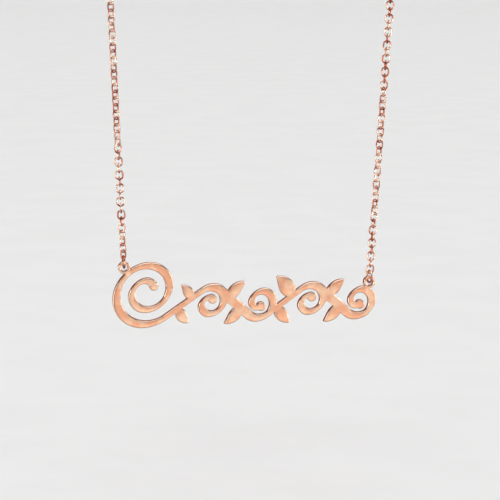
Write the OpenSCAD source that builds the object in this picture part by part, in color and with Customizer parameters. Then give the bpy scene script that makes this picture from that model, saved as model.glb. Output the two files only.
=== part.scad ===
// Necklace with an openwork scroll nameplate on a fine cable chain, hung over a round peg.
// The origin is at the peg's crown, under the clasp. +Z is up, +X is to the viewer's right,
// and the face of the plate looks along -Y.

/* [Nameplate] */
// Length of the plate from end to end
plate_l = 41; // [39:0.2:44]
// Thickness of the sheet that the plate is cut from
plate_t = 1.0; // [0.8:0.05:1.2]
// Height of the large scroll at the left end
swash_h = 10.0; // [9:0.1:11]
// How far the large scroll reaches below the small ones
swash_drop = 0.6; // [0:0.1:1]
// Height of the row of small scrolls
band_h = 5.9; // [5:0.1:6.2]
// Number of small scrolls
scroll_count = 4; // [3:1:4]
// Lean of the scrolls to the right, in degrees
slant = 8; // [0:1:14]
// Width of a stroke drawn across the pen
stroke_thick = 1.5; // [1.3:0.05:1.6]
// Width of a stroke drawn along the pen
stroke_thin = 0.8; // [0.6:0.05:0.9]
// Angle at which the pen is held, in degrees
pen_angle = 38; // [20:1:60]
// Diameter of the round drop that ends a scroll
drop_d = 1.4; // [1.2:0.05:1.6]
// Length of a leaf
leaf_l = 3.4; // [2.8:0.1:3.6]
// Width of a leaf
leaf_w = 1.9; // [1.4:0.1:2.1]
// Distance of a leaf's root from the middle of the straight stem
leaf_step = 1.1; // [0.6:0.1:1.3]
// Bore of an eye that carries a jump ring
eye_bore = 1.05; // [0.95:0.05:1.3]
// Wall of an eye around its bore
eye_wall = 0.38; // [0.32:0.02:0.5]

/* [Chain] */
// Length of the closed necklace, around the loop and across the plate
necklace_l = 450; // [400:5:500]
// Length of a link
link_l = 1.6; // [1.54:0.02:1.8]
// Width of a link
link_w = 1.3; // [1.2:0.05:1.5]
// Thickness of a link's wire
link_wire = 0.24; // [0.2:0.01:0.25]
// Number of links drawn one by one at the lower end of each side
front_links = 60; // [40:1:70]

/* [Rings] */
// Wire of the two jump rings in the plate's eyes
ring_wire = 0.3; // [0.25:0.01:0.34]
// How much wider a jump ring is inside than the plate is thick
ring_play = 0.5; // [0.4:0.05:0.7]
// Wire of the two rings at the clasp
clasp_ring_wire = 0.5; // [0.4:0.05:0.55]
// Inner diameter of the two rings at the clasp
clasp_ring_bore = 2.6; // [2.4:0.1:3]

/* [Clasp] */
// Length of the clasp
clasp_l = 10.6; // [10:0.1:13]
// Width of the clasp across its body
clasp_w = 4.2; // [4:0.1:5]
// Thickness of the hook and of the gate
hook_wire = 1.1; // [0.9:0.05:1.2]
// Thickness of the clasp's body
clasp_t = 1.8; // [1.4:0.1:2.2]
// Bore of the clasp's tail
tail_bore = 1.5; // [1.4:0.05:1.7]
// Wall of the tail around its bore
tail_wall = 0.5; // [0.4:0.05:0.6]
// Thickness of the tail
tail_t = 0.7; // [0.6:0.05:0.8]
// Diameter of the button that opens the gate
button_d = 1.0; // [0.8:0.05:1.2]

/* [Hanging] */
// Diameter of the peg that the necklace hangs over
peg_d = 53; // [50:1:58]
// How far the plate hangs to the left of the peg's middle
plate_shift = 2.2; // [0:0.1:3]
// Air between pieces that hold each other
clear = 0.11; // [0.1:0.01:0.12]

/* [Hidden] */
$fn = 32;
rose_gold = [0.93, 0.64, 0.50];
LEFT = -1;
RIGHT = 1;

// Lines of the plate, drawn flat at mid height of its row of small scrolls, with the origin
// under the middle of the large scroll. Path points lie this many degrees of turn apart.
path_step = 5;
flat_w = nib_width(0);
steep_w = nib_width(90);

function nib_width(heading) =
    norm([stroke_thick*sin(heading - pen_angle), stroke_thin*cos(heading - pen_angle)]);
function lean_over(p) = [p.x + p.y*tan(slant), p.y];
function on_circle(centre, r, turn) = centre + r*[cos(turn), sin(turn)];
function flat(p) = [p.x, p.y];

// How a scroll winds in: its whole turn, the share of its radius left at its end, how much of
// the winding is kept for the inner turn, and the share of its width left at its end
WIND_TURN = 0;
WIND_END = 1;
WIND_EASE = 2;
WIND_TAPER = 3;
small_wind = [345, 0.3, 0.84, 0.7];
swash_wind = [625, 0.24, 1.05, 0.8];
function wound(wind, turn) = 1 - (1 - wind[WIND_END])*pow(turn/wind[WIND_TURN], wind[WIND_EASE]);

// The large scroll's own height is that of its lowest point and, half a turn on, of its top
lowest_turn = 40;
swash_r = (swash_h - flat_w)/(wound(swash_wind, lowest_turn) + wound(swash_wind, lowest_turn + 180));
swash_z = swash_r*wound(swash_wind, lowest_turn) + flat_w/2 - swash_drop - band_h/2;
scroll_r = (band_h - flat_w)/2;

// The stem runs over one scroll and under the next, and straight between them. It leaves a
// scroll this many degrees from the line between their middles, so that the row fills the
// plate's length, and the large scroll at a smaller share of that angle.
swash_bow_share = 0.8;
widest_turn = 130;
function swash_bow(bow) = swash_bow_share*bow;
function swash_dx(bow) = sqrt(pow((swash_r + scroll_r)/cos(swash_bow(bow)), 2) - pow(swash_z, 2));
function row_l(bow) =
    swash_r*wound(swash_wind, widest_turn)/cos(slant) + steep_w/2 + swash_dx(bow)
    + (scroll_count - 1)*2*scroll_r/cos(bow) + scroll_r/cos(slant) + steep_w/2;
function fit_bow(low, high, tries) =
    let (mid = (low + high)/2)
    tries == 0 ? mid
    : row_l(mid) > plate_l ? fit_bow(low, mid, tries - 1)
    : fit_bow(mid, high, tries - 1);
bow = fit_bow(0, 80, 30);
pitch_x = 2*scroll_r/cos(bow);

// Middle of each small scroll, and the way that its stem arches
function scroll_centre(i) = [swash_dx(bow) + i*pitch_x, 0];
function arch(i) = i % 2 == 0 ? 1 : -1;

// A path holds its points and, as the third value, the share of the nib's width at each. A
// scroll is a little narrower at its root, so that its corners there lie inside the stem.
root_share = 0.96;
function winding(centre, r, start, way, wind) = [
    for (turn = [0 : path_step : wind[WIND_TURN]])
        let (p = lean_over(on_circle(centre, r*wound(wind, turn), start + way*turn)))
        [p.x, p.y, root_share*(1 - (1 - wind[WIND_TAPER])*turn/wind[WIND_TURN])]
];

swash_centre = [0, swash_z];
swash_start = atan2(-swash_z, swash_dx(bow)) - swash_bow(bow);
swash_path = winding(swash_centre, swash_r, swash_start, -1, swash_wind);
function curl_path(i) = winding(scroll_centre(i), scroll_r, arch(i)*bow, -arch(i), small_wind);

function stem_from(i) = i == 0 ? 180 + swash_start : 180 - bow;
function stem_steps(i) = ceil((stem_from(i) - bow)/path_step);
function stem_point(p) = let (q = lean_over(p)) [q.x, q.y, 1];
stem_path = [
    stem_point(on_circle(swash_centre, swash_r, swash_start)),
    for (i = [0 : scroll_count - 1])
        for (k = [0 : stem_steps(i)])
            let (turn = stem_from(i) + (bow - stem_from(i))*k/stem_steps(i))
            stem_point(scroll_centre(i) + scroll_r*[cos(turn), arch(i)*sin(turn)])
];

// The outline of a stroke lies half a nib's width to each side of its path
function heading_at(path, i) =
    let (a = path[max(i - 1, 0)], b = path[min(i + 1, len(path) - 1)])
    atan2(b.y - a.y, b.x - a.x);
function width_at(path, i) = nib_width(heading_at(path, i))*path[i].z;
function beside(path, i, distance) =
    let (h = heading_at(path, i))
    flat(path[i]) + distance*[-sin(h), cos(h)];
function stroke_outline(path) = [
    for (i = [0 : len(path) - 1]) beside(path, i, width_at(path, i)/2),
    for (i = [len(path) - 1 : -1 : 0]) beside(path, i, -width_at(path, i)/2)
];

// An eye's bore lies outside a scroll, this many degrees of turn along it, and its wall sinks a
// little into the stroke that carries it
swash_eye_turn = 170;
curl_eye_turn = 110;
eye_sink = 0.15;
function eye_beside(path, turn, way) =
    let (i = round(turn/path_step))
    beside(path, i, way*(width_at(path, i)/2 + eye_bore/2 + eye_wall - eye_sink));
eye_left = eye_beside(swash_path, swash_eye_turn, 1);
eye_right = eye_beside(curl_path(scroll_count - 1), curl_eye_turn, arch(scroll_count - 1));

// A ring through a bore stands so far out from the bore's middle that it just clears the bore's
// rim on both faces, when its plane is turned from square to them
slant_clear = 1.4*clear;
function ring_out(bore, thickness, inner_d, turn) =
    sqrt(pow(bore/2, 2) - pow(thickness/2*tan(turn), 2))
    + sqrt(pow(inner_d/2 - slant_clear, 2) - pow(thickness/2/cos(turn), 2));

// Middles of the clasp's rings: one passes around its hook, on the left, and the other through
// its tail, on the right
clasp_hold = clasp_l - hook_wire/2 - tail_bore/2 - tail_wall;
clasp_ring_r = (clasp_ring_bore + clasp_ring_wire)/2;
clasp_ring_turn = 10;
hook_ring_out = clasp_ring_bore/2 - slant_clear - hook_wire/2;
tail_ring_out = ring_out(tail_bore, tail_t, clasp_ring_bore, clasp_ring_turn);
clasp_ring_x = (clasp_hold + hook_ring_out + tail_ring_out)/2;

// Where the necklace hangs: each side runs straight from its eye to the circle on which the
// chain goes round the peg, and the plate hangs as low as the necklace's length lets it
hang_r = norm([peg_d/2 + clasp_t/2, clasp_ring_x]);
hang_z = -peg_d/2;
plate_x = -plate_shift - (eye_left.x + eye_right.x)/2;

function flat_eye(side) = side == LEFT ? eye_left : eye_right;
function eye_out(side) = side*(plate_x + flat_eye(side).x);
function eye_down(side, drop) = drop - flat_eye(side).y;
function eye_far(side, drop) = norm([eye_out(side), eye_down(side, drop)]);
function lean_at(side, drop) =
    asin(hang_r/eye_far(side, drop)) - atan2(eye_out(side), eye_down(side, drop));
function straight_at(side, drop) = sqrt(pow(eye_far(side, drop), 2) - pow(hang_r, 2));
function side_l_at(side, drop) = straight_at(side, drop) + hang_r*(90 + lean_at(side, drop))*PI/180;
function loop_l(drop) =
    side_l_at(LEFT, drop) + side_l_at(RIGHT, drop) + norm(eye_right - eye_left);
function fit_drop(low, high, tries) =
    let (mid = (low + high)/2)
    tries == 0 ? mid
    : loop_l(mid) > necklace_l ? fit_drop(low, mid, tries - 1)
    : fit_drop(mid, high, tries - 1);
drop = fit_drop(2*hang_r, necklace_l, 40);
plate_z = hang_z - drop;

function lean(side) = lean_at(side, drop);
function straight_l(side) = straight_at(side, drop);
function side_l(side) = side_l_at(side, drop);
function eye_place(side) = [side*eye_out(side), 0, plate_z + flat_eye(side).y];

// A point of one side's route, this far along it from the eye, and the way it runs there
function bend_at(side, s) = max(0, s - straight_l(side))/hang_r*180/PI;
function route_point(side, s) =
    s < straight_l(side)
    ? eye_place(side) + s*[side*sin(lean(side)), 0, cos(lean(side))]
    : [0, 0, hang_z]
      + hang_r*[side*cos(bend_at(side, s) - lean(side)), 0, sin(bend_at(side, s) - lean(side))];
function route_tilt(side, s) = side*(lean(side) - bend_at(side, s));

// A jump ring passes through its eye and hangs the plate from the top of the eye's bore
ring_r = (plate_t + ring_play + ring_wire)/2;
function ring_turn(side) = side == LEFT ? 4 : 12;
function jump_ring_s(side) = ring_out(eye_bore, plate_t, plate_t + ring_play, ring_turn(side));
function clasp_ring_s(side) = side_l(side) - hang_r*asin(clasp_ring_x/hang_r)*PI/180;

// The links fill the way from the jump ring to the clasp's ring, closed up where it falls short
link_reach = link_l - link_wire;
function first_s(side) =
    jump_ring_s(side) + ring_r - (ring_wire + link_wire)/2 - slant_clear + link_reach/2;
function last_s(side) =
    clasp_ring_s(side) - clasp_ring_r + (clasp_ring_wire + link_wire)/2 + slant_clear - link_reach/2;
function link_gaps(side) = ceil((last_s(side) - first_s(side))/(link_reach - link_wire - clear));
function link_pitch(side) = (last_s(side) - first_s(side))/link_gaps(side);
function link_s(side, i) = first_s(side) + i*link_pitch(side);

// How each side's links are turned about the chain: from a link on, the even links take this
// turn, and the links before it come round to it by a step each
TURN_FROM = 0;
TURN_TO = 1;
turns_left = [[0, 45], [6, 0], [18, 45]];
turns_right = [[0, 0], [10, 45], [29, 0]];
turn_run = 4;
function turn_rows(side) = side == LEFT ? turns_left : turns_right;
function turned(rows, i, k) =
    k == 0 ? rows[0][TURN_TO]
    : turned(rows, i, k - 1)
      + (rows[k][TURN_TO] - rows[k - 1][TURN_TO])
        *min(1, max(0, (i - rows[k][TURN_FROM] + turn_run)/turn_run));
function link_turn(side, i) = turned(turn_rows(side), i, len(turn_rows(side)) - 1) + (i % 2)*90;

// The back of each side, swept round the route in rings of eight corners
tube_sides = 8;
tube_step = 3*link_w;
function tube_from(side) = link_s(side, front_links - 1) + link_l/2 + clear;
function tube_to(side) = clasp_ring_s(side) - clasp_ring_r - clasp_ring_wire/2 - clear;
function tube_rings(side) = ceil((tube_to(side) - tube_from(side))/tube_step);
function tube_ring(side, s) = [
    for (k = [0 : tube_sides - 1])
        let (
            around = 360*(k + 0.5)/tube_sides,
            tilt = route_tilt(side, s),
            across = link_w/2*cos(around)
        )
        route_point(side, s) + [across*cos(tilt), link_w/2*sin(around), -across*sin(tilt)]
];

// The plate's shapes lie flat, each as thick as the sheet
module disc(centre, d) {
    translate(centre) cylinder(d = d, h = plate_t, center = true);
}

module cutout(points) {
    linear_extrude(plate_t, center = true) polygon(points);
}

// A scroll's stroke and the round drop at its inner end
module scroll(path) {
    cutout(stroke_outline(path));
    disc(flat(path[len(path) - 1]), drop_d);
}

// The stem's stroke has round ends, a little wider than itself so that they hold its corners.
// They close its joints to the first and the last scroll.
module stem(path) {
    cutout(stroke_outline(path));
    for (i = [0, len(path) - 1]) disc(flat(path[i]), width_at(path, i)/root_share);
}

// A pointed leaf that leaves its root at an angle and curls over by so many degrees. It is
// widest nearer to its root, and full along its edges.
leaf_belly = 0.75;
leaf_fullness = 0.8;
module leaf(root, angle, size, curl) {
    steps = 12;
    function rib(t, side) =
        let (
            along = t*leaf_l*size,
            half = leaf_w*size/2*pow(sin(180*pow(t, leaf_belly)), leaf_fullness),
            mid = angle + curl*t/2,
            rim = angle + curl*t
        )
        lean_over(root + along*[cos(mid), sin(mid)] + side*half*[-sin(rim), cos(rim)]);
    cutout([
        for (i = [0 : steps]) rib(i/steps, 1),
        for (i = [steps - 1 : -1 : 1]) rib(i/steps, -1)
    ]);
}

// A leaf on each side of the straight stem; way is 1 where the stem falls, -1 where it climbs,
// and the two sizes are those of the upper and the lower leaf
leaf_angle = 72;
leaf_curl = 42;
first_leaves = [0.8, 0.85];
leaves = [0.95, 0.95];
tall_leaves = [1.2, 0.95];
tall_pair = 1;
module leaf_pair(middle, way, fall, sizes) {
    for (k = [0, 1]) {
        side = 180*k + (way > 0 ? 0 : 180);
        along = side + 180 - way*fall;
        leaf(middle + leaf_step*[cos(along), sin(along)], side + way*leaf_angle,
             sizes[k], -way*leaf_curl);
    }
}

module plate_sheet() {
    scroll(swash_path);
    stem(stem_path);
    for (i = [0 : scroll_count - 1]) scroll(curl_path(i));
    for (eye = [eye_left, eye_right]) disc(eye, eye_bore + 2*eye_wall);
    leaf_pair(scroll_centre(0) - [pitch_x/2, 0], -1, 90 - bow, first_leaves);
    for (i = [0 : scroll_count - 2])
        leaf_pair(scroll_centre(i) + [pitch_x/2, 0], arch(i), 90 - bow,
                  i == tall_pair ? tall_leaves : leaves);
}

module nameplate() {
    color(rose_gold)
        translate([plate_x, 0, plate_z])
            rotate([90, 0, 0])
                difference() {
                    plate_sheet();
                    for (eye = [eye_left, eye_right])
                        translate(eye)
                            cylinder(d = eye_bore, h = 2*plate_t, center = true);
                }
}

// Children stand on one side's route, their Z along it and their X in the necklace's plane
module on_route(side, s) {
    translate(route_point(side, s))
        rotate([0, route_tilt(side, s), 0])
            children();
}

// A ring of round wire in the YZ plane
module ring(r, wire) {
    rotate([0, 90, 0])
        rotate_extrude($fn = 48)
            translate([r, 0]) circle(d = wire, $fn = 24);
}

module jump_ring(side) {
    color(rose_gold)
        on_route(side, jump_ring_s(side))
            rotate([0, 0, ring_turn(side)])
                ring(ring_r, ring_wire);
}

// A link of round wire, long along Z and wide along X
module link() {
    bend_r = (link_w - link_wire)/2;
    straight = link_l - link_w;
    for (up = [0, 1])
        mirror([0, 0, up])
            translate([0, 0, straight/2])
                rotate([90, 0, 0])
                    rotate_extrude(angle = 180, $fn = 24)
                        translate([bend_r, 0]) circle(d = link_wire, $fn = 16);
    for (edge = [-1, 1])
        translate([edge*bend_r, 0, 0])
            cylinder(d = link_wire, h = straight, center = true, $fn = 16);
}

module chain(side) {
    color(rose_gold)
        for (i = [0 : front_links - 1])
            on_route(side, link_s(side, i))
                rotate([0, 0, link_turn(side, i)])
                    link();
}

module chain_back(side) {
    count = tube_rings(side);
    points = [
        for (i = [0 : count])
            each tube_ring(side, tube_from(side) + i*(tube_to(side) - tube_from(side))/count)
    ];
    walls = [
        for (i = [0 : count - 1])
            for (k = [0 : tube_sides - 1])
                let (a = i*tube_sides, n = (k + 1) % tube_sides)
                [a + k, a + n, a + tube_sides + n, a + tube_sides + k]
    ];
    ends = [
        [for (k = [tube_sides - 1 : -1 : 0]) k],
        [for (k = [0 : tube_sides - 1]) count*tube_sides + k]
    ];
    color(rose_gold) polyhedron(points, concat(walls, ends));
}

module clasp_ring(side) {
    color(rose_gold)
        on_route(side, clasp_ring_s(side))
            rotate([0, 0, 90 - side*clasp_ring_turn])
                ring(clasp_ring_r, clasp_ring_wire);
}

// The clasp lies flat on the peg, its hook to the left and its tail to the right
tail_x = clasp_ring_x - tail_ring_out;
hook_inset = 0.15;
hook_r = (clasp_w - hook_wire)/2 - hook_inset;
hook_x = tail_x - clasp_hold + hook_r;
tail_d = tail_bore + 2*tail_wall;
neck_l = 0.4;
body_x = tail_x - tail_d/2 - clasp_w/2 - neck_l;
body_edge = 0.35;
seam_w = 0.12;
seam_depth = 0.12;
module clasp() {
    color(rose_gold)
        translate([0, 0, clasp_t/2])
            difference() {
                union() {
                    clasp_hook();
                    clasp_body();
                    clasp_tail();
                }
                translate([tail_x, 0, 0])
                    cylinder(d = tail_bore, h = 2*clasp_t, center = true);
                translate([hook_x + hook_wire/2, -hook_r, 0]) clasp_seam();
            }
}

// A bend of round wire, and a straight length from each of its ends into the body
module clasp_hook() {
    translate([hook_x, 0, 0])
        rotate([0, 0, 90])
            rotate_extrude(angle = 180, $fn = 48)
                translate([hook_r, 0]) circle(d = hook_wire, $fn = 24);
    for (edge = [-1, 1])
        translate([hook_x, edge*hook_r, 0])
            rotate([0, 90, 0])
                cylinder(d = hook_wire, h = body_x - hook_x, $fn = 24);
}

// The round body with bevelled rims, and the button on its gate's side
module clasp_body() {
    translate([body_x, 0, 0])
        rotate_extrude($fn = 64)
            polygon([
                [0, -clasp_t/2], [clasp_w/2 - body_edge, -clasp_t/2],
                [clasp_w/2, -clasp_t/2 + body_edge], [clasp_w/2, clasp_t/2 - body_edge],
                [clasp_w/2 - body_edge, clasp_t/2], [0, clasp_t/2]
            ]);
    translate([body_x - clasp_w/2, -hook_r - hook_wire/4, 0])
        cylinder(d = button_d, h = clasp_t - 2*body_edge, center = true);
}

module clasp_tail() {
    translate([tail_x, 0, 0]) cylinder(d = tail_d, h = tail_t, center = true);
    translate([body_x, -tail_bore/2, -tail_t/2])
        cube([tail_x - tail_bore/2 - tail_wall/2 - body_x, tail_bore, tail_t]);
}

// The groove where the gate meets the hook's tip
module clasp_seam() {
    rotate([0, 90, 0])
        difference() {
            cylinder(d = 2*hook_wire, h = seam_w, center = true);
            cylinder(d = hook_wire - 2*seam_depth, h = 2*seam_w, center = true);
        }
}

nameplate();
jump_ring(LEFT);  // jump_ring_left
jump_ring(RIGHT);  // jump_ring_right
chain(LEFT);  // chain_left
chain(RIGHT);  // chain_right
chain_back(LEFT);  // chain_left_back
chain_back(RIGHT);  // chain_right_back
clasp();
clasp_ring(LEFT);  // clasp_ring_left
clasp_ring(RIGHT);  // clasp_ring_right
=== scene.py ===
"""Looks of a nameplate necklace: an openwork scroll plate on a fine cable chain with a clasp.

Lengths are in millimetres and angles in degrees, except where a docstring says otherwise.
"""

import logging
import math
from dataclasses import dataclass, field
from enum import Enum
from typing import Any, Callable, Iterable, Sequence

import bpy
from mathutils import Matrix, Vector
from mathutils.geometry import delaunay_2d_cdt


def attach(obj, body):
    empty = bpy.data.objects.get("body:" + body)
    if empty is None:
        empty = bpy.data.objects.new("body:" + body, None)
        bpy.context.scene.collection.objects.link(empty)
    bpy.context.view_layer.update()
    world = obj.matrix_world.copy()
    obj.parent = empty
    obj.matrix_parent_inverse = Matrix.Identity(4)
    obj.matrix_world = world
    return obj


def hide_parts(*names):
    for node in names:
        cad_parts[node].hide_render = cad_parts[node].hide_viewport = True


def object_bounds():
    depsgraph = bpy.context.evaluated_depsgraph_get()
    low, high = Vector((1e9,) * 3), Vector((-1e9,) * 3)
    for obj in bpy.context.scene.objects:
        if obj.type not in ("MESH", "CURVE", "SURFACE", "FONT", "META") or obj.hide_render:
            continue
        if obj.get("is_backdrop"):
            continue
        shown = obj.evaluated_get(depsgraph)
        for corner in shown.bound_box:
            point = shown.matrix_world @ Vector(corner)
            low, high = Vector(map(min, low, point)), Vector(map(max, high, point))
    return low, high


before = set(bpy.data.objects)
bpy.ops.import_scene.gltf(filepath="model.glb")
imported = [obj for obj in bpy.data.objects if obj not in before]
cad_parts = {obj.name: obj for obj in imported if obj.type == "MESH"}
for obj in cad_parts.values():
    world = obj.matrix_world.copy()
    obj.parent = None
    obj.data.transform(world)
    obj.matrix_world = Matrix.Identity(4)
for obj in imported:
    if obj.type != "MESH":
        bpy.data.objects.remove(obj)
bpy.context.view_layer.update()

logging.basicConfig(level=logging.INFO, format="%(message)s")
log = logging.getLogger("necklace")

# A millimetre in metres, and the body that every piece rides on
MM = 0.001
BODY = "root"
Point = tuple[float, float]


# Node trees


class Value:
    """An output of a node tree that is worked on like a number."""

    def __init__(self, tree: bpy.types.NodeTree, socket: bpy.types.NodeSocket) -> None:
        """Keeps the socket and its tree."""
        self.tree = tree
        self.socket = socket

    def math(self, operation: str, *others: "Value | float", clamp: bool = False) -> "Value":
        """Runs a math node on this value.

        Args:
            operation: Blender's name of the operation.
            others: The other operands.
            clamp: Whether the result is held between 0 and 1.

        Returns:
            The result.
        """
        node = self.tree.nodes.new("ShaderNodeMath")
        node.operation = operation
        node.use_clamp = clamp
        for socket, operand in zip(node.inputs, (self, *others)):
            feed(self.tree, socket, operand)
        return Value(self.tree, node.outputs[0])

    def __add__(self, other: "Value | float") -> "Value":
        """Adds."""
        return self.math("ADD", other)

    def __sub__(self, other: "Value | float") -> "Value":
        """Subtracts."""
        return self.math("SUBTRACT", other)

    def __mul__(self, other: "Value | float") -> "Value":
        """Multiplies."""
        return self.math("MULTIPLY", other)

    def __mod__(self, other: "Value | float") -> "Value":
        """Takes the remainder."""
        return self.math("MODULO", other)


def feed(tree: bpy.types.NodeTree, socket: bpy.types.NodeSocket, value: Any) -> None:
    """Gives an input its value.

    Args:
        tree: The tree that holds the input.
        socket: The input.
        value: A Value, a socket to link, or a constant.
    """
    if isinstance(value, Value):
        tree.links.new(value.socket, socket)
    elif isinstance(value, bpy.types.NodeSocket):
        tree.links.new(value, socket)
    else:
        socket.default_value = value


class NodeGraph:
    """A node tree under construction."""

    tree: bpy.types.NodeTree

    def node(self, kind: str, inputs: dict[Any, Any] | None = None, **settings: Any) -> bpy.types.Node:
        """Adds a node.

        Args:
            kind: Blender's name of the node type.
            inputs: Values by the input's name, or by its number where several share a name.
            settings: Properties of the node.

        Returns:
            The node.
        """
        node = self.tree.nodes.new(kind)
        for name, setting in settings.items():
            setattr(node, name, setting)
        for key, value in (inputs or {}).items():
            feed(self.tree, node.inputs[key], value)
        return node

    def value(self, kind: str, inputs: dict[Any, Any] | None = None, output: Any = 0,
              **settings: Any) -> Value:
        """Adds a node and returns one of its outputs as a value."""
        return Value(self.tree, self.node(kind, inputs, **settings).outputs[output])

    def span(self, amount: Value, low: float, high: float, start: float = 0.0, end: float = 1.0,
             shape: str = "LINEAR") -> Value:
        """Maps an amount from one range to another.

        Args:
            amount: The value to map.
            low: The result at the range's start.
            high: The result at the range's end.
            start: The start of the amount's range.
            end: The end of the amount's range.
            shape: Blender's name of how the result rises.

        Returns:
            The mapped value, held between low and high.
        """
        return self.value(
            "ShaderNodeMapRange",
            {"Value": amount, "From Min": start, "From Max": end, "To Min": low, "To Max": high},
            interpolation_type=shape,
        )

    def mix(self, amount: Value, first: Any, second: Any) -> Value:
        """Mixes two numbers by an amount from 0 to 1."""
        return self.value("ShaderNodeMix", {0: amount, 2: first, 3: second})

    def blend(self, amount: Value, first: Any, second: Any) -> Value:
        """Mixes two colours by an amount from 0 to 1."""
        return self.value("ShaderNodeMix", {0: amount, 6: first, 7: second}, 2, data_type="RGBA")


class ShapeGraph(NodeGraph):
    """A geometry node tree with named inputs, which ends in real faces with a material."""

    def __init__(self, name: str) -> None:
        """Starts the tree with the shape that comes in and its material.

        Args:
            name: The tree's name.
        """
        self.tree = bpy.data.node_groups.new(name, "GeometryNodeTree")
        self.entry = self.tree.nodes.new("NodeGroupInput")
        self.shape = self.size("Geometry", "NodeSocketGeometry")
        self.material = self.size("Material", "NodeSocketMaterial")

    def size(self, name: str, kind: str = "NodeSocketFloat") -> Value:
        """Adds a named input.

        Args:
            name: The input's name.
            kind: The type of its socket.

        Returns:
            The input's value inside the tree.
        """
        self.tree.interface.new_socket(name, in_out="INPUT", socket_type=kind)
        return Value(self.tree, self.entry.outputs[name])

    def close(self, shape: bpy.types.NodeSocket) -> "ShapeGraph":
        """Ends the tree: copies become real faces and take the material.

        Args:
            shape: The shape that the tree makes.

        Returns:
            The tree itself.
        """
        self.tree.interface.new_socket("Geometry", in_out="OUTPUT", socket_type="NodeSocketGeometry")
        real = self.node("GeometryNodeRealizeInstances", {"Geometry": shape})
        dressed = self.node(
            "GeometryNodeSetMaterial", {"Geometry": real.outputs[0], "Material": self.material}
        )
        self.node("NodeGroupOutput", {"Geometry": dressed.outputs[0]})
        return self

    def grow(self, name: str, seed_mesh: bpy.types.Mesh, material: bpy.types.Material | None,
             sizes: dict[str, float]) -> bpy.types.Object:
        """Runs the tree and keeps its result as a plain mesh.

        Args:
            name: The name of the new object.
            seed_mesh: The mesh that goes into the tree.
            material: The finish, which the tree sets.
            sizes: The named inputs.

        Returns:
            The new object, with no modifier on it.
        """
        bench = add_object(name + "_bench", seed_mesh)
        modifier = bench.modifiers.new("grow", "NODES")
        modifier.node_group = self.tree
        for item in self.tree.interface.items_tree:
            if item.in_out == "INPUT" and item.name in sizes:
                modifier[item.identifier] = sizes[item.name]
            elif item.in_out == "INPUT" and item.name == "Material" and material:
                modifier[item.identifier] = material
        bpy.context.view_layer.update()
        depsgraph = bpy.context.evaluated_depsgraph_get()
        mesh = bpy.data.meshes.new_from_object(bench.evaluated_get(depsgraph), depsgraph=depsgraph)
        mesh.name = name
        bench.modifiers.remove(modifier)
        bpy.data.objects.remove(bench)
        return add_object(name, mesh)


# Finishes


@dataclass(frozen=True)
class Grain:
    """A noise: its cells to a metre, its octaves and the factors on its scale along X, Y and Z."""

    scale: float
    detail: float = 2.0
    stretch: tuple[float, float, float] = (1, 1, 1)


class SurfaceGraph(NodeGraph):
    """A material's node tree."""

    def __init__(self, name: str) -> None:
        """Starts the material with an empty tree.

        Args:
            name: The material's name.
        """
        self.material = bpy.data.materials.new(name)
        self.material.use_nodes = True
        self.tree = self.material.node_tree
        self.tree.nodes.clear()
        self.place = self.value("ShaderNodeTexCoord", output="Object")

    def noise(self, grain: Grain) -> Value:
        """Adds noise that is fixed to the piece.

        Args:
            grain: How fine it is.

        Returns:
            The noise, from 0 to 1.
        """
        mapped = self.value("ShaderNodeMapping", {"Vector": self.place, "Scale": grain.stretch})
        return self.value(
            "ShaderNodeTexNoise", {"Vector": mapped, "Scale": grain.scale, "Detail": grain.detail}, "Fac"
        )

    def close(self, inputs: dict[str, Any]) -> bpy.types.Material:
        """Ends the tree in a surface.

        Args:
            inputs: The surface's inputs by name.

        Returns:
            The material.
        """
        shader = self.node("ShaderNodeBsdfPrincipled", inputs)
        self.node("ShaderNodeOutputMaterial", {"Surface": shader.outputs[0]})
        return self.material

    def metal(self, colour: Value, roughness: Value, height: Value, relief: Point,
              edge: tuple[float, ...]) -> bpy.types.Material:
        """Ends the tree in a metal.

        Args:
            colour: The base colour.
            roughness: The roughness.
            height: The height of the fine relief, from 0 to 1.
            relief: The strength of the relief, and its depth.
            edge: The tint of what it mirrors at a glancing angle.

        Returns:
            The material.
        """
        strength, depth = relief
        bump = self.value(
            "ShaderNodeBump", {"Strength": strength, "Distance": depth * MM, "Height": height}
        )
        return self.close({
            "Base Color": colour, "Metallic": 1.0, "Roughness": roughness, "Specular Tint": edge,
            "Normal": bump,
        })


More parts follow.
